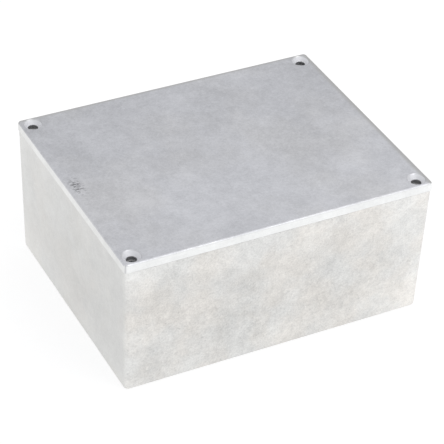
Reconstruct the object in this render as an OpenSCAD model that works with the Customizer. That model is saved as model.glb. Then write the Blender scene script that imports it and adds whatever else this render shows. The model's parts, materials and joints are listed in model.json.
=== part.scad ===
// Die cast aluminium enclosure in two castings.
// The body is a drafted tub with a screw column blended into each corner.
// The lid is a flat cover whose locating lip drops inside the rim and bends
// round the columns, and whose countersunk holes line up with their bores.
// Sizes are in millimetres. The origin is the middle of the underside, +X runs
// along the long side and +Z points up through the lid.

/* [Overall] */
// Length over the lid, along X
box_length = 120; // [70:0.5:240]
// Width over the lid, along Y
box_width = 95.5; // [60:0.5:200]
// Height from the underside to the top of the lid
box_height = 56; // [30:0.5:120]

/* [Body casting] */
// Thickness of the side walls
wall_t = 2.2; // [1.6:0.1:3]
// Thickness of the floor
floor_t = 2.4; // [1.6:0.1:4]
// Draft of every upright face, in degrees, so that the castings leave the die
draft_angle = 1; // [0:0.1:2]
// Radius of the upright outer corners, the same all the way up
corner_r = 1.9; // [1.5:0.1:5]
// Radius of the rounded edge round the underside
base_edge_r = 1.4; // [0.4:0.1:2]
// Radius between the floor and the walls, inside
floor_fillet_r = 1.8; // [0.5:0.1:3]
// Bevel on the outer edge of the rim, which shows as the seam under the lid
rim_bevel = 0.3; // [0.1:0.05:0.6]

/* [Screw columns] */
// Distance from the lid's edges to the screw axes
screw_inset = 4.5; // [3.8:0.1:6]
// Radius of a column at the rim
column_r = 4; // [3:0.1:6]
// Radius of the blend between a column and the walls beside it
column_blend_r = 1.5; // [0.5:0.1:3]
// Diameter of the tapped bore, at the crests of its thread
bore_d = 2.9; // [2:0.1:4]
// Depth of the tapped bore's straight wall
bore_depth = 14; // [6:0.5:20]

/* [Lid casting] */
// Height of the lid's edge, from the rim to the top face
lid_h = 3.3; // [3:0.1:6]
// Thickness of the lid inside its seat
plate_t = 2.3; // [1.6:0.1:2.8]
// How far the lid stands out past the rim on each side
lid_overhang = 0.15; // [0:0.05:0.5]
// Radius of the lid's upright corners
lid_corner_r = 1.4; // [1:0.1:4]
// Radius of the edge round the lid's top face
lid_edge_r = 0.9; // [0.2:0.05:1]
// Diameter of the clearance hole for a screw's shank
screw_hole_d = 3.7; // [3.2:0.1:5]
// Diameter of a countersink at the top face
sink_d = 7; // [5.5:0.1:8]
// Full angle of the countersinks, in degrees
sink_angle = 90; // [80:1:100]

/* [Locating lip] */
// How far the lip reaches down inside the rim
lip_depth = 1.8; // [1:0.1:4]
// Thickness of the lip
lip_t = 1.6; // [1:0.1:2.5]
// Clearance between the lip and the inside of the body
lip_clearance = 0.25; // [0.1:0.05:0.5]
// Bevel on the lip's outer edge, which leads it into the body
lip_lead = 0.4; // [0.1:0.1:0.8]
// Radius between the lip and the underside of the plate
lip_fillet_r = 0.8; // [0.2:0.1:1.5]

/* [Hidden] */

$fn = 64;
// How far a cutter runs past the face that it opens
overrun = 0.5;
// Steps in a rounded edge, a blend, a screw column and an outer corner
edge_steps = 5;
blend_steps = 6;
column_steps = 10;
corner_steps = 10;
// An outline's rounding never shrinks below this
least_r = 0.1;

slope = tan(draft_angle);
rim_z = box_height - lid_h;
screw_x = box_length / 2 - screw_inset;
screw_y = box_width / 2 - screw_inset;
// Distance from a screw axis outwards to the inner face of the wall, at the rim
wall_reach = screw_inset - lid_overhang - wall_t;
bore_tip = bore_d / 2 / tan(59);
sink_depth = (sink_d - screw_hole_d) / 2 / tan(sink_angle / 2);
body_colour = [0.82, 0.82, 0.80];
lid_colour = [0.74, 0.75, 0.78];

// Points along an arc about c, without its first point
function arc(c, r, from, to, steps) =
    [for (i = [1:steps]) let (a = from + (to - from) * i / steps) c + r * [cos(a), sin(a)]];

// A point turned by q quarter turns about the origin
function quarter_turn(p, q) = q == 0 ? p : quarter_turn([-p.y, p.x], q - 1);

// A closed outline that repeats one corner's points about the four points at +-x, +-y
function four_corners(x, y, points) =
    [for (q = [0:3], p = points)
        quarter_turn(p, q) + [x * (q == 0 || q == 3 ? 1 : -1), y * (q < 2 ? 1 : -1)]];

// Outline of a rectangle with round corners, drawn in by draft at the same radius
// and then by edge, which shrinks the radius
function rounded_outline(length, width, r, draft, edge) =
    let (centre = max(r, edge + least_r), round_r = centre - edge)
    four_corners(
        length / 2 - draft - centre,
        width / 2 - draft - centre,
        concat([[round_r, 0]], arc([0, 0], round_r, 0, 90, corner_steps))
    );

// One corner of the body's hollow, about its screw axis and drawn in by inset:
// a blend out of one wall, the arc round the column, and a blend into the next
function column_corner(inset) =
    let (
        wall = wall_reach - inset,
        around = column_r + inset,
        blend_x = wall - column_blend_r,
        blend_y = -sqrt((around + column_blend_r) ^ 2 - blend_x ^ 2),
        turn = atan2(-blend_y, -blend_x)
    )
    concat(
        [[wall, blend_y]],
        arc([blend_x, blend_y], column_blend_r, 0, turn, blend_steps),
        arc([0, 0], around, turn + 180, 270 - turn, column_steps),
        arc([blend_y, blend_x], column_blend_r, 90 - turn, 90, blend_steps)
    );

// Outline of the body's hollow at the rim, drawn in by inset on every side
function hollow_outline(inset) = four_corners(screw_x, screw_y, column_corner(inset));

// Steps [height, inset] of a rounded edge, from the face at its end to the upright wall
function edge_profile(r) =
    [for (i = [0:edge_steps]) let (a = 90 * i / edge_steps) [r * (1 - cos(a)), r * (1 - sin(a))]];

// The same steps from the upright wall to the face
function edge_profile_down(r) = [for (i = [edge_steps:-1:0]) edge_profile(r)[i]];

// How far draft draws the body's walls in at height z
function draft_at(z) = (rim_z - z) * slope;

// Closed skin through a stack of [height, outline] with equal numbers of points
module loft(stack) {
    count = len(stack[0][1]);
    last = len(stack) - 1;
    points = [for (level = stack, p = level[1]) [p.x, p.y, level[0]]];
    sides = [
        for (k = [0:last - 1], i = [0:count - 1])
            let (j = (i + 1) % count, low = k * count, high = low + count)
            each [[low + i, high + i, high + j], [low + i, high + j, low + j]]
    ];
    bottom = [for (i = [0:count - 1]) i];
    top = [for (i = [count - 1:-1:0]) last * count + i];
    polyhedron(points, concat([bottom, top], sides));
}

// Copies what is drawn at the origin to the four screw axes
module at_screws() {
    for (side_x = [-1, 1], side_y = [-1, 1])
        translate([side_x * screw_x, side_y * screw_y, 0]) children();
}

// Outside of the body, from the rounded underside edge to the bevelled rim
module body_skin() {
    length = box_length - 2 * lid_overhang;
    width = box_width - 2 * lid_overhang;
    loft(concat(
        [for (e = edge_profile(base_edge_r))
            [e[0], rounded_outline(length, width, corner_r, draft_at(e[0]), e[1])]],
        [for (step = [[rim_z - rim_bevel, 0], [rim_z, rim_bevel]])
            [step[0], rounded_outline(length, width, corner_r, draft_at(step[0]), step[1])]]
    ));
}

// Inside of the body, with the columns left standing in its corners
module body_hollow() {
    loft(concat(
        [for (e = edge_profile(floor_fillet_r))
            let (z = floor_t + e[0]) [z, hollow_outline(draft_at(z) + e[1])]],
        [for (z = [rim_z, rim_z + overrun]) [z, hollow_outline(0)]]
    ));
}

// Blind bore down a column from its top, with a drill's point at the end
module column_bore() {
    translate([0, 0, rim_z - bore_depth]) cylinder(h = bore_depth + overrun, d = bore_d);
    translate([0, 0, rim_z - bore_depth - bore_tip]) cylinder(h = bore_tip, d1 = 0, d2 = bore_d);
}

module body() {
    color(body_colour)
    difference() {
        body_skin();
        body_hollow();
        at_screws() column_bore();
    }
}

// Outside of the lid, from its seat on the rim to the rounded top edge
module lid_skin() {
    loft(concat(
        [[rim_z, rounded_outline(box_length, box_width, lid_corner_r, 0, 0)]],
        [for (e = edge_profile_down(lid_edge_r))
            let (z = box_height - e[0], draft = (z - rim_z) * slope)
            [z, rounded_outline(box_length, box_width, lid_corner_r, draft, e[1])]]
    ));
}

// Block inside the rim, at one clearance from the body's walls and columns
module lip_block() {
    low = rim_z - lip_depth;
    shoulder = low + lip_lead;
    loft([
        [low, hollow_outline(lip_clearance + draft_at(low) + lip_lead)],
        [shoulder, hollow_outline(lip_clearance + draft_at(shoulder))],
        [rim_z, hollow_outline(lip_clearance)],
        [rim_z + overrun, hollow_outline(lip_clearance)]
    ]);
}

// Hollow inside the lip, up to the underside of the plate
module lid_hollow() {
    low = rim_z - lip_depth;
    ceiling = box_height - plate_t;
    inner = lip_clearance + lip_t;
    loft(concat(
        [for (z = [low - overrun, low]) [z, hollow_outline(inner)]],
        [for (e = edge_profile_down(lip_fillet_r))
            let (z = ceiling - e[0]) [z, hollow_outline(inner + (z - low) * slope + e[1])]]
    ));
}

// Clearance hole through the lid with a countersink for a flat head
module screw_hole() {
    translate([0, 0, rim_z - overrun]) cylinder(h = lid_h + overrun, d = screw_hole_d);
    translate([0, 0, box_height - sink_depth])
        cylinder(
            h = sink_depth + overrun,
            d1 = screw_hole_d,
            d2 = sink_d + 2 * overrun * tan(sink_angle / 2)
        );
}

module lid() {
    color(lid_colour)
    difference() {
        union() {
            lid_skin();
            lip_block();
        }
        lid_hollow();
        at_screws() screw_hole();
    }
}

body();
lid();
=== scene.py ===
"""Looks of the die cast aluminium box: as-cast body, satin lid with linished edges, studio light.

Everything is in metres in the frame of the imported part: origin at the middle of the underside,
+X along the long side, +Z up through the lid.
"""
import json
import math

import bpy
from mathutils import Matrix, Vector


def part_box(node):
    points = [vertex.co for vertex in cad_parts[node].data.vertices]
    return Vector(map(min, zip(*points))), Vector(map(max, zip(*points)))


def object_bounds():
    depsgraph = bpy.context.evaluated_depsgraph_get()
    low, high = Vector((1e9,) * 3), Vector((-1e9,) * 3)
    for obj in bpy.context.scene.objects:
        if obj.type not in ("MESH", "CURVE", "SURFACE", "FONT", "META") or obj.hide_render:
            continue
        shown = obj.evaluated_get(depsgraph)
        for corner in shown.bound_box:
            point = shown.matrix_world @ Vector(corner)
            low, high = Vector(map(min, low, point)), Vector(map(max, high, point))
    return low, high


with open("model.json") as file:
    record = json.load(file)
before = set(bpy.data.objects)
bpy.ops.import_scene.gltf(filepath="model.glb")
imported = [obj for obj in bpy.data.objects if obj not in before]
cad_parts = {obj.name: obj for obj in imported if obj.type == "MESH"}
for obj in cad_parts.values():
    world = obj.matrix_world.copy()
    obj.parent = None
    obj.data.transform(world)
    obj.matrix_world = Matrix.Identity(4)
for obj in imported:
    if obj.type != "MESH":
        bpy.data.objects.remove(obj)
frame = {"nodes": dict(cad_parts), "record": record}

MM = 0.001

# Camera: where it stands round the box, how far off, and the point beside the centre that it aims at
VIEW_AZIMUTH = math.radians(-28.14)
VIEW_ELEVATION = math.radians(36.30)
VIEW_ROLL = math.radians(2.57)
VIEW_DISTANCE = 728.0 * MM
AIM_RIGHT = 0.98 * MM
AIM_UP = -2.95 * MM
LENS_MM = 160.42
SENSOR_MM = 36

# Studio: one large soft key lamp, a white surround that is dimmer overhead, and a pale floor
KEY_AZIMUTH = math.radians(33)
KEY_ELEVATION = math.radians(55)
KEY_DISTANCE = 0.9
KEY_SIZE = 0.5
KEY_STRENGTH = 1.2
OVERHEAD = (0.85, 0.855, 0.87)
OVERHEAD_FROM, OVERHEAD_TO = 0.02, 0.35
FLOOR_HALF = 40.0
FLOOR_GREY = (0.35, 0.35, 0.35, 1)
FLOOR_GLOW = 0.72

# Aluminium in its finishes, as linear colours
CAST_COOL = (0.708, 0.708, 0.697)
CAST_WARM = (0.726, 0.708, 0.680)
FACE_COOL = (0.584, 0.588, 0.612)
FACE_WARM = (0.593, 0.593, 0.606)
GRIME = (0.495, 0.490, 0.480)
SCUFF = (0.235, 0.235, 0.245)
LINISHED_LONG = (0.880, 0.887, 0.885)
# The short edges are painted darker than the long ones, as painted shade
LINISHED_SHORT_SHADED = (0.795, 0.797, 0.788)
TURNED = (0.780, 0.782, 0.800)
# A dark colour for painted shade in the bores and drilled holes, also used for the nick
HOLE_SHADE_AND_NICK = (0.430, 0.430, 0.440)

# Noise layers that lighten and darken a finish by up to size each way; scales are per metre
BODY_CLOUDS = {"scale": 15, "detail": 2, "roughness": 0.5, "size": 0.05}
BODY_SKIN = {"scale": 70, "detail": 7, "roughness": 0.98, "size": 0.42}
BODY_GRAIN = {"scale": 1500, "detail": 2, "roughness": 0.8, "size": 0.19}
LID_CLOUDS = {"scale": 16, "detail": 2, "roughness": 0.5, "size": 0.12, "distortion": 0.5}
LID_SKIN = {"scale": 50, "detail": 7, "roughness": 0.96, "size": 0.41}
LID_GRAIN = {"scale": 1600, "detail": 2, "roughness": 0.8, "size": 0.06}

# The body's fine specks, how much of the texture its short sides show, and its gloss
SPECK_SCALE = 800
SPECKS_LIGHT = 0.10
SPECKS_DARK = 0.12
SHORT_SIDE_CONTRAST = 0.35
BODY_ROUGH_DULL, BODY_ROUGH_BRIGHT = 0.60, 0.50
BODY_RELIEF = 0.03 * MM

# Painted light on the body: how much lighter it is painted at its corners (painted highlights), its
# right and back ends, under the rim and at the foot, and how far in from each edge that fades out
CORNER_HIGHLIGHT_TOP, CORNER_HIGHLIGHT_FOOT = 0.02, 0.11
CORNER_FADE, CORNER_FULL = 14 * MM, 2 * MM
RIGHT_END_LIGHT = 0.07
BACK_END_LIGHT = 0.05
RIM_LIGHT, RIM_FADE = 0.085, 20 * MM
FOOT_LIGHT, FOOT_FADE, FOOT_FULL = 0.04, 18 * MM, 2 * MM

# Painted light and shade on the lid's face: two broad patches, centre in shares of its half sizes,
# radii, and change of shade, then painted light growing towards the front
PAINTED_LIGHT_PATCH = {"centre": (-0.2, -0.5), "radii": (38 * MM, 26 * MM), "change": 0.05}
PAINTED_SHADE_PATCH = {"centre": (0.48, -0.12), "radii": (28 * MM, 20 * MM), "change": -0.055}
FRONT_PAINTED_LIGHT = 0.10
LID_ROUGH_DULL, LID_ROUGH_BRIGHT = 0.50, 0.42
EDGE_GLOSS = 0.08
LID_RELIEF = 0.02 * MM

# Grime along the lid's right and back edges, from where it starts to where it is full
GRIME_RIGHT = (3.0 * MM, 0.6 * MM)
GRIME_BACK = (2.4 * MM, 0.4 * MM)

# A cluster of short scratches by the lid's short edge at -X
SCRATCH_INSET = 3.7 * MM
SCRATCH_Y = 0.8 * MM
SCRATCH_RADII = (3.4 * MM, 8.0 * MM)
SCRATCH_SCALE = 1150
SCRATCH_STRETCH = (0.7, 1.7, 1.0)

# Fine lines left along the lid's edges by the linishing belt
LINE_LONG, LINE_FINE = 40, 4000
LINE_SHADE = 0.05

# Countersinks: the turned cone, the faint ring of painted shade round it, and the nick in one corner
CONE_OUTER, CONE_FULL = 3.25 * MM, 3.1 * MM
CONE_ROUGHER = 0.22
RING_PITCH = 0.25 * MM
RING_SHADE = 0.02
HALO_OUTER, HALO_FULL, HALO_SHADE = 4.0 * MM, 3.5 * MM, 0.12
NICK_INSET = 0.35 * MM
NICK_OUTER, NICK_FULL, NICK = 0.45 * MM, 0.25 * MM, 0.55


def mount(name):
    """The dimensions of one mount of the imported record, by name."""
    return next(m for m in frame["record"]["mounts"] if m["name"] == name)["dims"]


CAD_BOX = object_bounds()
LOW, HIGH = CAD_BOX
RIM_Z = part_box("body")[1][2]
SCREW_X = mount("lid_screw_holes")["spacing_x_mm"] / 2 * MM
SCREW_Y = mount("lid_screw_holes")["spacing_y_mm"] / 2 * MM
HOLE_R = mount("lid_screw_holes")["hole_r_mm"] * MM
BORE_R = mount("column_bores")["hole_r_mm"] * MM


# ---------------------------------------------------------------- node helpers

class Nodes:
    """A short way to write a node tree: calls add nodes, and most return an output socket."""

    def __init__(self, owner):
        owner.use_nodes = True
        self.tree = owner.node_tree
        self.tree.nodes.clear()

    def add(self, kind, inputs=None, **settings):
        """Adds one node with its settings and inputs, and returns the node."""
        node = self.tree.nodes.new(kind)
        for name, value in settings.items():
            setattr(node, name, value)
        for name, value in (inputs or {}).items():
            self.put(node.inputs[name], value)
        return node

    def put(self, socket, value):
        """Links a socket's output, or sets a plain value."""
        if isinstance(value, bpy.types.NodeSocket):
            self.tree.links.new(value, socket)
        else:
            socket.default_value = value

    def math(self, operation, a, b=0.0):
        node = self.add("ShaderNodeMath", {0: a, 1: b}, operation=operation)
        return node.outputs[0]

    def times(self, a, b):
        return self.math("MULTIPLY", a, b)

    def size_of(self, value):
        return self.math("ABSOLUTE", value)

    def total(self, *values):
        """The sum of several values."""
        out = values[0]
        for value in values[1:]:
            out = self.math("ADD", out, value)
        return out

    def noise(self, where, scale, detail, roughness, distortion=0.0):
        inputs = {
            "Vector": where,
            "Scale": scale,
            "Detail": detail,
            "Roughness": roughness,
            "Distortion": distortion,
        }
        return self.add("ShaderNodeTexNoise", inputs).outputs["Fac"]

    def swing(self, value, size):
        """Turns a noise about 0.5 into one about zero that swings by size each way."""
        return self.times(self.math("SUBTRACT", value, 0.5), 2 * size)

    def layer(self, where, size, **noise):
        """A noise about zero that swings by size each way."""
        return self.swing(self.noise(where, **noise), size)

    def ramp(self, value, low, high, to_low=0.0, to_high=1.0):
        """An eased step from to_low to to_high as the value goes from low to high."""
        inputs = {
            "Value": value,
            "From Min": low,
            "From Max": high,
            "To Min": to_low,
            "To Max": to_high,
        }
        node = self.add("ShaderNodeMapRange", inputs, interpolation_type="SMOOTHSTEP")
        return node.outputs["Result"]

    def mix(self, share, a, b):
        """A colour that goes from a to b as the share goes from 0 to 1."""
        node = self.add("ShaderNodeMix", data_type="RGBA")
        self.put(node.inputs["Factor"], share)
        for socket, value in ((node.inputs[6], a), (node.inputs[7], b)):
            self.put(socket, value if isinstance(value, bpy.types.NodeSocket) else (*value, 1))
        return node.outputs[2]

    def shade(self, colour, change):
        """Makes a colour lighter or darker: a change of 0.1 makes it a tenth lighter."""
        inputs = {"Vector": colour, "Scale": self.math("ADD", change, 1.0)}
        return self.add("ShaderNodeVectorMath", inputs, operation="SCALE").outputs[0]

    def stretch(self, where, scale):
        return self.add("ShaderNodeMapping", {"Vector": where, "Scale": scale}).outputs[0]

    def parts(self, vector):
        return self.add("ShaderNodeSeparateXYZ", {"Vector": vector}).outputs

    def spot(self, where, centre, radii):
        """A soft-edged oval patch: 1 at its centre, 0 outside, the same at every height."""
        every_height = 1000.0
        inputs = {
            "Vector": where,
            "Location": (*centre, 0),
            "Scale": (*radii, every_height),
        }
        scaled = self.add("ShaderNodeMapping", inputs, vector_type="TEXTURE").outputs[0]
        length = self.add("ShaderNodeVectorMath", {0: scaled}, operation="LENGTH")
        return self.ramp(length.outputs["Value"], 1.0, 0.1)

    def bump(self, height, distance, strength):
        inputs = {"Height": height, "Distance": distance, "Strength": strength}
        return self.add("ShaderNodeBump", inputs).outputs[0]

    def metal(self, colour, rough, normal):
        """Ends a material's tree with bare metal."""
        inputs = {"Base Color": colour, "Metallic": 1.0, "Roughness": rough, "Normal": normal}
        shader = self.add("ShaderNodeBsdfPrincipled", inputs)
        self.add("ShaderNodeOutputMaterial", {"Surface": shader.outputs[0]})


def coordinates(n):
    """The point in the part's frame, its three coordinates, and the surface normal's three."""
    source = n.add("ShaderNodeTexCoord")
    where = source.outputs["Object"]
    return where, n.parts(where), n.parts(source.outputs["Normal"])


def screw_distance(n, place):
    """Distance from the nearest of the four screw axes."""
    across = n.math("SUBTRACT", n.size_of(place[0]), SCREW_X)
    along = n.math("SUBTRACT", n.size_of(place[1]), SCREW_Y)
    return n.math("SQRT", n.math("ADD", n.times(across, across), n.times(along, along)))


# ---------------------------------------------------------------- body

def body_specks(n, where):
    """Fine light and dark specks of a cast skin."""
    fine = n.noise(where, SPECK_SCALE, detail=1, roughness=0.5)
    light = n.ramp(fine, 0.66, 0.80, 0, SPECKS_LIGHT)
    dark = n.ramp(fine, 0.34, 0.20, 0, SPECKS_DARK)
    return n.math("SUBTRACT", light, dark)


def long_side_painted_light(n, place):
    """How much lighter the long sides are painted: painted highlights at the corners, painted light
    at the right end and under the rim.
    """
    from_x = n.math("SUBTRACT", n.size_of(place[0]), HIGH[0])
    from_y = n.math("SUBTRACT", n.size_of(place[1]), HIGH[1])
    # Painted highlights down the rounded upright corners, stronger towards the foot
    corner = n.ramp(n.math("MINIMUM", from_x, from_y), -CORNER_FADE, -CORNER_FULL)
    stronger_low = n.ramp(place[2], RIM_Z, 5 * MM, CORNER_HIGHLIGHT_TOP, CORNER_HIGHLIGHT_FOOT)
    right_end = n.ramp(place[0], 0.2 * HIGH[0], HIGH[0], 0, RIGHT_END_LIGHT)
    rim = n.ramp(place[2], RIM_Z - RIM_FADE, RIM_Z, 0, RIM_LIGHT)
    return n.total(n.times(corner, stronger_low), right_end, rim)


def bore_painted_shade(n, place):
    """1 in the bores of the screw columns, which are painted dark as shade; 0 elsewhere."""
    near = n.ramp(screw_distance(n, place), BORE_R + 0.1 * MM, BORE_R - 0.1 * MM)
    half_way = HIGH[2] / 2
    upper = n.ramp(place[2], half_way, half_way + 5 * MM)
    return n.times(near, upper)


def cast_body_material():
    """As-cast aluminium: pale warm grey, clouded, granular on the long sides, with painted highlights
    at its corners and painted light at its ends, under its rim and at its foot.
    """
    material = bpy.data.materials.new("cast_body")
    n = Nodes(material)
    where, place, normal = coordinates(n)

    # The long sides show the skin's texture more strongly than the short ones
    long_side = n.ramp(n.size_of(normal[1]), 0.3, 0.9)
    contrast = n.total(n.times(long_side, 1 - SHORT_SIDE_CONTRAST), SHORT_SIDE_CONTRAST)
    skin = n.layer(where, **BODY_SKIN)
    clouds = n.layer(where, **BODY_CLOUDS)
    grain = n.layer(where, **BODY_GRAIN)
    texture = n.total(clouds, skin, grain, body_specks(n, where))

    # Painted light: the skin is painted lighter at the corners, the ends, under the rim and at the
    # foot, differently on the long sides and the short ones
    on_long = n.times(n.total(texture, long_side_painted_light(n, place)), contrast)
    # Painted light at the short sides' back end and near the foot
    back_end = n.ramp(place[1], -0.2 * HIGH[1], HIGH[1], 0, BACK_END_LIGHT)
    on_short = n.times(back_end, n.math("SUBTRACT", 1.0, long_side))
    foot = n.ramp(place[2], FOOT_FADE, FOOT_FULL, 0, FOOT_LIGHT)

    patches = n.noise(where, 45, detail=3, roughness=0.6)
    tint = n.times(n.ramp(patches, 0.36, 0.64), contrast)
    colour = n.mix(tint, CAST_COOL, CAST_WARM)
    colour = n.shade(colour, n.total(on_long, on_short, foot))
    # Painted shade: the upper bores of the screw columns are darkened
    colour = n.mix(bore_painted_shade(n, place), colour, HOLE_SHADE_AND_NICK)

    rough = n.ramp(skin, -0.12, 0.12, BODY_ROUGH_DULL, BODY_ROUGH_BRIGHT)
    fine = n.noise(where, 900, detail=3, roughness=0.7)
    coarse = n.noise(where, 260, detail=2, roughness=0.5)
    n.metal(colour, rough, n.bump(n.total(fine, coarse), BODY_RELIEF, strength=0.6))
    return material


# ---------------------------------------------------------------- lid

def lid_patch(n, where, centre, radii, change):
    """The painted light, or with a negative change the painted shade, over one broad patch of the
    lid's face.
    """
    middle = (centre[0] * HIGH[0], centre[1] * HIGH[1])
    return n.times(n.spot(where, middle, radii), change)


def lid_face(n, where, place, skin):
    """The face: clouds, an even tight grain, painted light towards the front and on a broad patch at
    the front left, painted shade on one at the right, and grime.
    """
    clouds = n.layer(where, **LID_CLOUDS)
    grain = n.layer(where, **LID_GRAIN)
    # Painted light growing towards the front, a patch of painted light at the front left and one of
    # painted shade at the right
    front_light = n.ramp(place[1], HIGH[1], -HIGH[1], 0, FRONT_PAINTED_LIGHT)
    pale = lid_patch(n, where, **PAINTED_LIGHT_PATCH)
    shaded_patch = lid_patch(n, where, **PAINTED_SHADE_PATCH)
    tint = n.ramp(n.noise(where, 20, detail=3, roughness=0.6), 0.38, 0.62)
    colour = n.mix(tint, FACE_COOL, FACE_WARM)
    colour = n.shade(colour, n.total(clouds, skin, grain, front_light, pale, shaded_patch))
    right = n.ramp(place[0], HIGH[0] - GRIME_RIGHT[0], HIGH[0] - GRIME_RIGHT[1])
    back = n.ramp(place[1], HIGH[1] - GRIME_BACK[0], HIGH[1] - GRIME_BACK[1])
    return n.mix(n.math("MAXIMUM", right, back), colour, GRIME)


def scratched(n, where, colour):
    """A colour with the cluster of short dark scratches laid over it."""
    short = n.stretch(where, SCRATCH_STRETCH)
    flecks = n.ramp(n.noise(short, SCRATCH_SCALE, detail=1, roughness=0.5), 0.51, 0.59)
    cluster = n.spot(where, (SCRATCH_INSET - HIGH[0], SCRATCH_Y), SCRATCH_RADII)
    return n.mix(n.times(flecks, cluster), colour, SCUFF)


def lid_edge(n, where, normal, skin):
    """The edges: a linishing belt has run along them; the short sides are painted darker, as painted
    shade.
    """
    along_x = n.stretch(where, (LINE_LONG, 1, LINE_FINE))
    along_y = n.stretch(where, (1, LINE_LONG, LINE_FINE))
    long_side = n.ramp(n.size_of(normal[1]), 0.3, 0.6)
    lines = n.mix(
        long_side,
        n.noise(along_y, 1, detail=2, roughness=0.6),
        n.noise(along_x, 1, detail=2, roughness=0.6),
    )
    colour = n.mix(long_side, LINISHED_SHORT_SHADED, LINISHED_LONG)
    return n.shade(colour, n.total(n.swing(lines, LINE_SHADE), n.times(skin, 0.5)))


def is_edge(n, normal):
    """1 on the lid's edges, 0 on its face; the front edge takes in more of the rounding, as a painted
    highlight along its top.
    """
    front = n.ramp(normal[1], -0.05, -0.35)
    return n.mix(front, n.ramp(normal[2], 0.55, 0.1), n.ramp(normal[2], 0.88, 0.4))


def corner_nick(n, place):
    """How dark the small nick in the lid's front left corner is at this point."""
    nick_x = n.size_of(n.math("ADD", place[0], HIGH[0] - NICK_INSET))
    nick_y = n.size_of(n.math("ADD", place[1], HIGH[1] - NICK_INSET))
    return n.ramp(n.math("MAXIMUM", nick_x, nick_y), NICK_OUTER, NICK_FULL, 0, NICK)


def cast_lid_material():
    """Satin lid face with soft clouds and scuffs, linished edges and turned countersinks."""
    material = bpy.data.materials.new("cast_lid")
    n = Nodes(material)
    where, place, normal = coordinates(n)
    skin = n.layer(where, **LID_SKIN)
    edge = is_edge(n, normal)
    face = scratched(n, where, lid_face(n, where, place, skin))
    colour = n.mix(edge, face, lid_edge(n, where, normal, skin))
    colour = n.mix(corner_nick(n, place), colour, HOLE_SHADE_AND_NICK)

    # Countersinks: turned bright, with painted shade in the drilled hole below and a faint ring of
    # painted shade round each
    radial = screw_distance(n, place)
    rings = n.math("SINE", n.times(radial, 2 * math.pi / RING_PITCH))
    cone = n.times(n.ramp(normal[2], 0.86, 0.78), n.ramp(radial, CONE_OUTER, CONE_FULL))
    halo_shade = n.ramp(radial, HALO_OUTER, HALO_FULL, 0, HALO_SHADE)
    drilled = n.ramp(radial, HOLE_R + 0.12 * MM, HOLE_R + 0.02 * MM)
    colour = n.mix(halo_shade, colour, HOLE_SHADE_AND_NICK)
    colour = n.mix(cone, colour, n.shade(TURNED, n.times(rings, RING_SHADE)))
    colour = n.mix(drilled, colour, HOLE_SHADE_AND_NICK)

    rough = n.ramp(skin, -0.08, 0.08, LID_ROUGH_DULL, LID_ROUGH_BRIGHT)
    rough = n.math("SUBTRACT", rough, n.times(edge, EDGE_GLOSS))
    rough = n.total(rough, n.times(cone, CONE_ROUGHER))
    fine = n.noise(where, 800, detail=3, roughness=0.6)
    turning = n.times(n.times(rings, cone), 0.3)
    n.metal(colour, rough, n.bump(n.total(fine, turning), LID_RELIEF, strength=0.5))
    return material


# ---------------------------------------------------------------- the studio

def floor_material():
    """Pale floor that stays white round the box and keeps its soft shadow; clear from below."""
    material = bpy.data.materials.new("floor")
    n = Nodes(material)
    pale = n.add("ShaderNodeBsdfDiffuse", {"Color": FLOOR_GREY})
    glow = n.add("ShaderNodeEmission", {"Color": (1, 1, 1, 1), "Strength": FLOOR_GLOW})
    both = n.add("ShaderNodeAddShader", {0: pale.outputs[0], 1: glow.outputs[0]})
    path = n.add("ShaderNodeLightPath").outputs
    seen = n.total(path["Is Camera Ray"], path["Is Glossy Ray"], path["Is Transmission Ray"])
    lit = n.add("ShaderNodeMixShader", {0: seen, 1: pale.outputs[0], 2: both.outputs[0]})
    below = n.add("ShaderNodeNewGeometry").outputs["Backfacing"]
    clear = n.add("ShaderNodeBsdfTransparent")
    out = n.add("ShaderNodeMixShader", {0: below, 1: lit.outputs[0], 2: clear.outputs[0]})
    n.add("ShaderNodeOutputMaterial", {"Surface": out.outputs[0]})
    return material


def make_floor():
    mesh = bpy.data.meshes.new("floor")
    half = FLOOR_HALF
    corners = [(-half, -half, 0), (half, -half, 0), (half, half, 0), (-half, half, 0)]
    mesh.from_pydata(corners, [], [(0, 1, 2, 3)])
    mesh.materials.append(floor_material())
    floor = bpy.data.objects.new("floor", mesh)
    bpy.context.scene.collection.objects.link(floor)


def outwards(azimuth, elevation):
    """The direction away from the box; azimuth runs from the front towards +X."""
    flat = math.cos(elevation)
    return Vector((math.sin(azimuth) * flat, -math.cos(azimuth) * flat, math.sin(elevation)))


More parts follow.
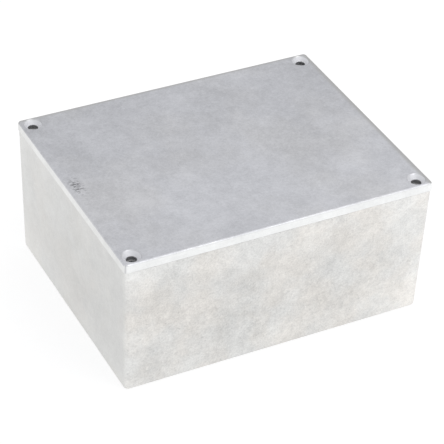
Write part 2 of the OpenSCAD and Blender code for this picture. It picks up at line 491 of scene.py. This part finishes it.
def make_camera():
    back = outwards(VIEW_AZIMUTH, VIEW_ELEVATION)
    right = back.cross(Vector((0, 0, -1))).normalized()
    up = back.cross(right)
    roll = Matrix.Rotation(VIEW_ROLL, 3, back)
    right, up = roll @ right, roll @ up
    data = bpy.data.cameras.new("camera")
    data.lens = LENS_MM
    data.sensor_width = SENSOR_MM
    camera = bpy.data.objects.new("camera", data)
    bpy.context.scene.collection.objects.link(camera)
    centre = (Vector(LOW) + Vector(HIGH)) / 2
    stand = centre + back * VIEW_DISTANCE + right * AIM_RIGHT + up * AIM_UP
    facing = Matrix((right, up, back)).transposed().to_4x4()
    camera.matrix_world = Matrix.Translation(stand) @ facing
    bpy.context.scene.camera = camera


def make_key():
    """A square softbox aimed at the box; at a strength of 1 its face is as bright as white."""
    data = bpy.data.lights.new("key", "AREA")
    data.size = KEY_SIZE
    data.energy = 4 * KEY_STRENGTH * KEY_SIZE ** 2
    lamp = bpy.data.objects.new("key", data)
    bpy.context.scene.collection.objects.link(lamp)
    away = outwards(KEY_AZIMUTH, KEY_ELEVATION)
    lamp.location = Vector((0, 0, HIGH[2] / 2)) + away * KEY_DISTANCE
    lamp.rotation_euler = away.to_track_quat("Z", "Y").to_euler()


def make_world():
    """A light tent: white up to the horizon, a little dimmer and cooler overhead."""
    world = bpy.data.worlds.new("studio")
    bpy.context.scene.world = world
    n = Nodes(world)
    up = n.parts(n.add("ShaderNodeTexCoord").outputs["Generated"])[2]
    colour = n.mix(n.ramp(up, OVERHEAD_FROM, OVERHEAD_TO), (1, 1, 1), OVERHEAD)
    back = n.add("ShaderNodeBackground", {"Color": colour, "Strength": 1.0})
    n.add("ShaderNodeOutputWorld", {"Surface": back.outputs[0]})


def dress(node, material):
    """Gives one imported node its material."""
    slots = frame["nodes"][node].data.materials
    slots.clear()
    slots.append(material)


make_camera()
make_floor()
make_world()
make_key()
dress("body", cast_body_material())
dress("lid", cast_lid_material())
bpy.context.scene.view_settings.view_transform = "Standard"
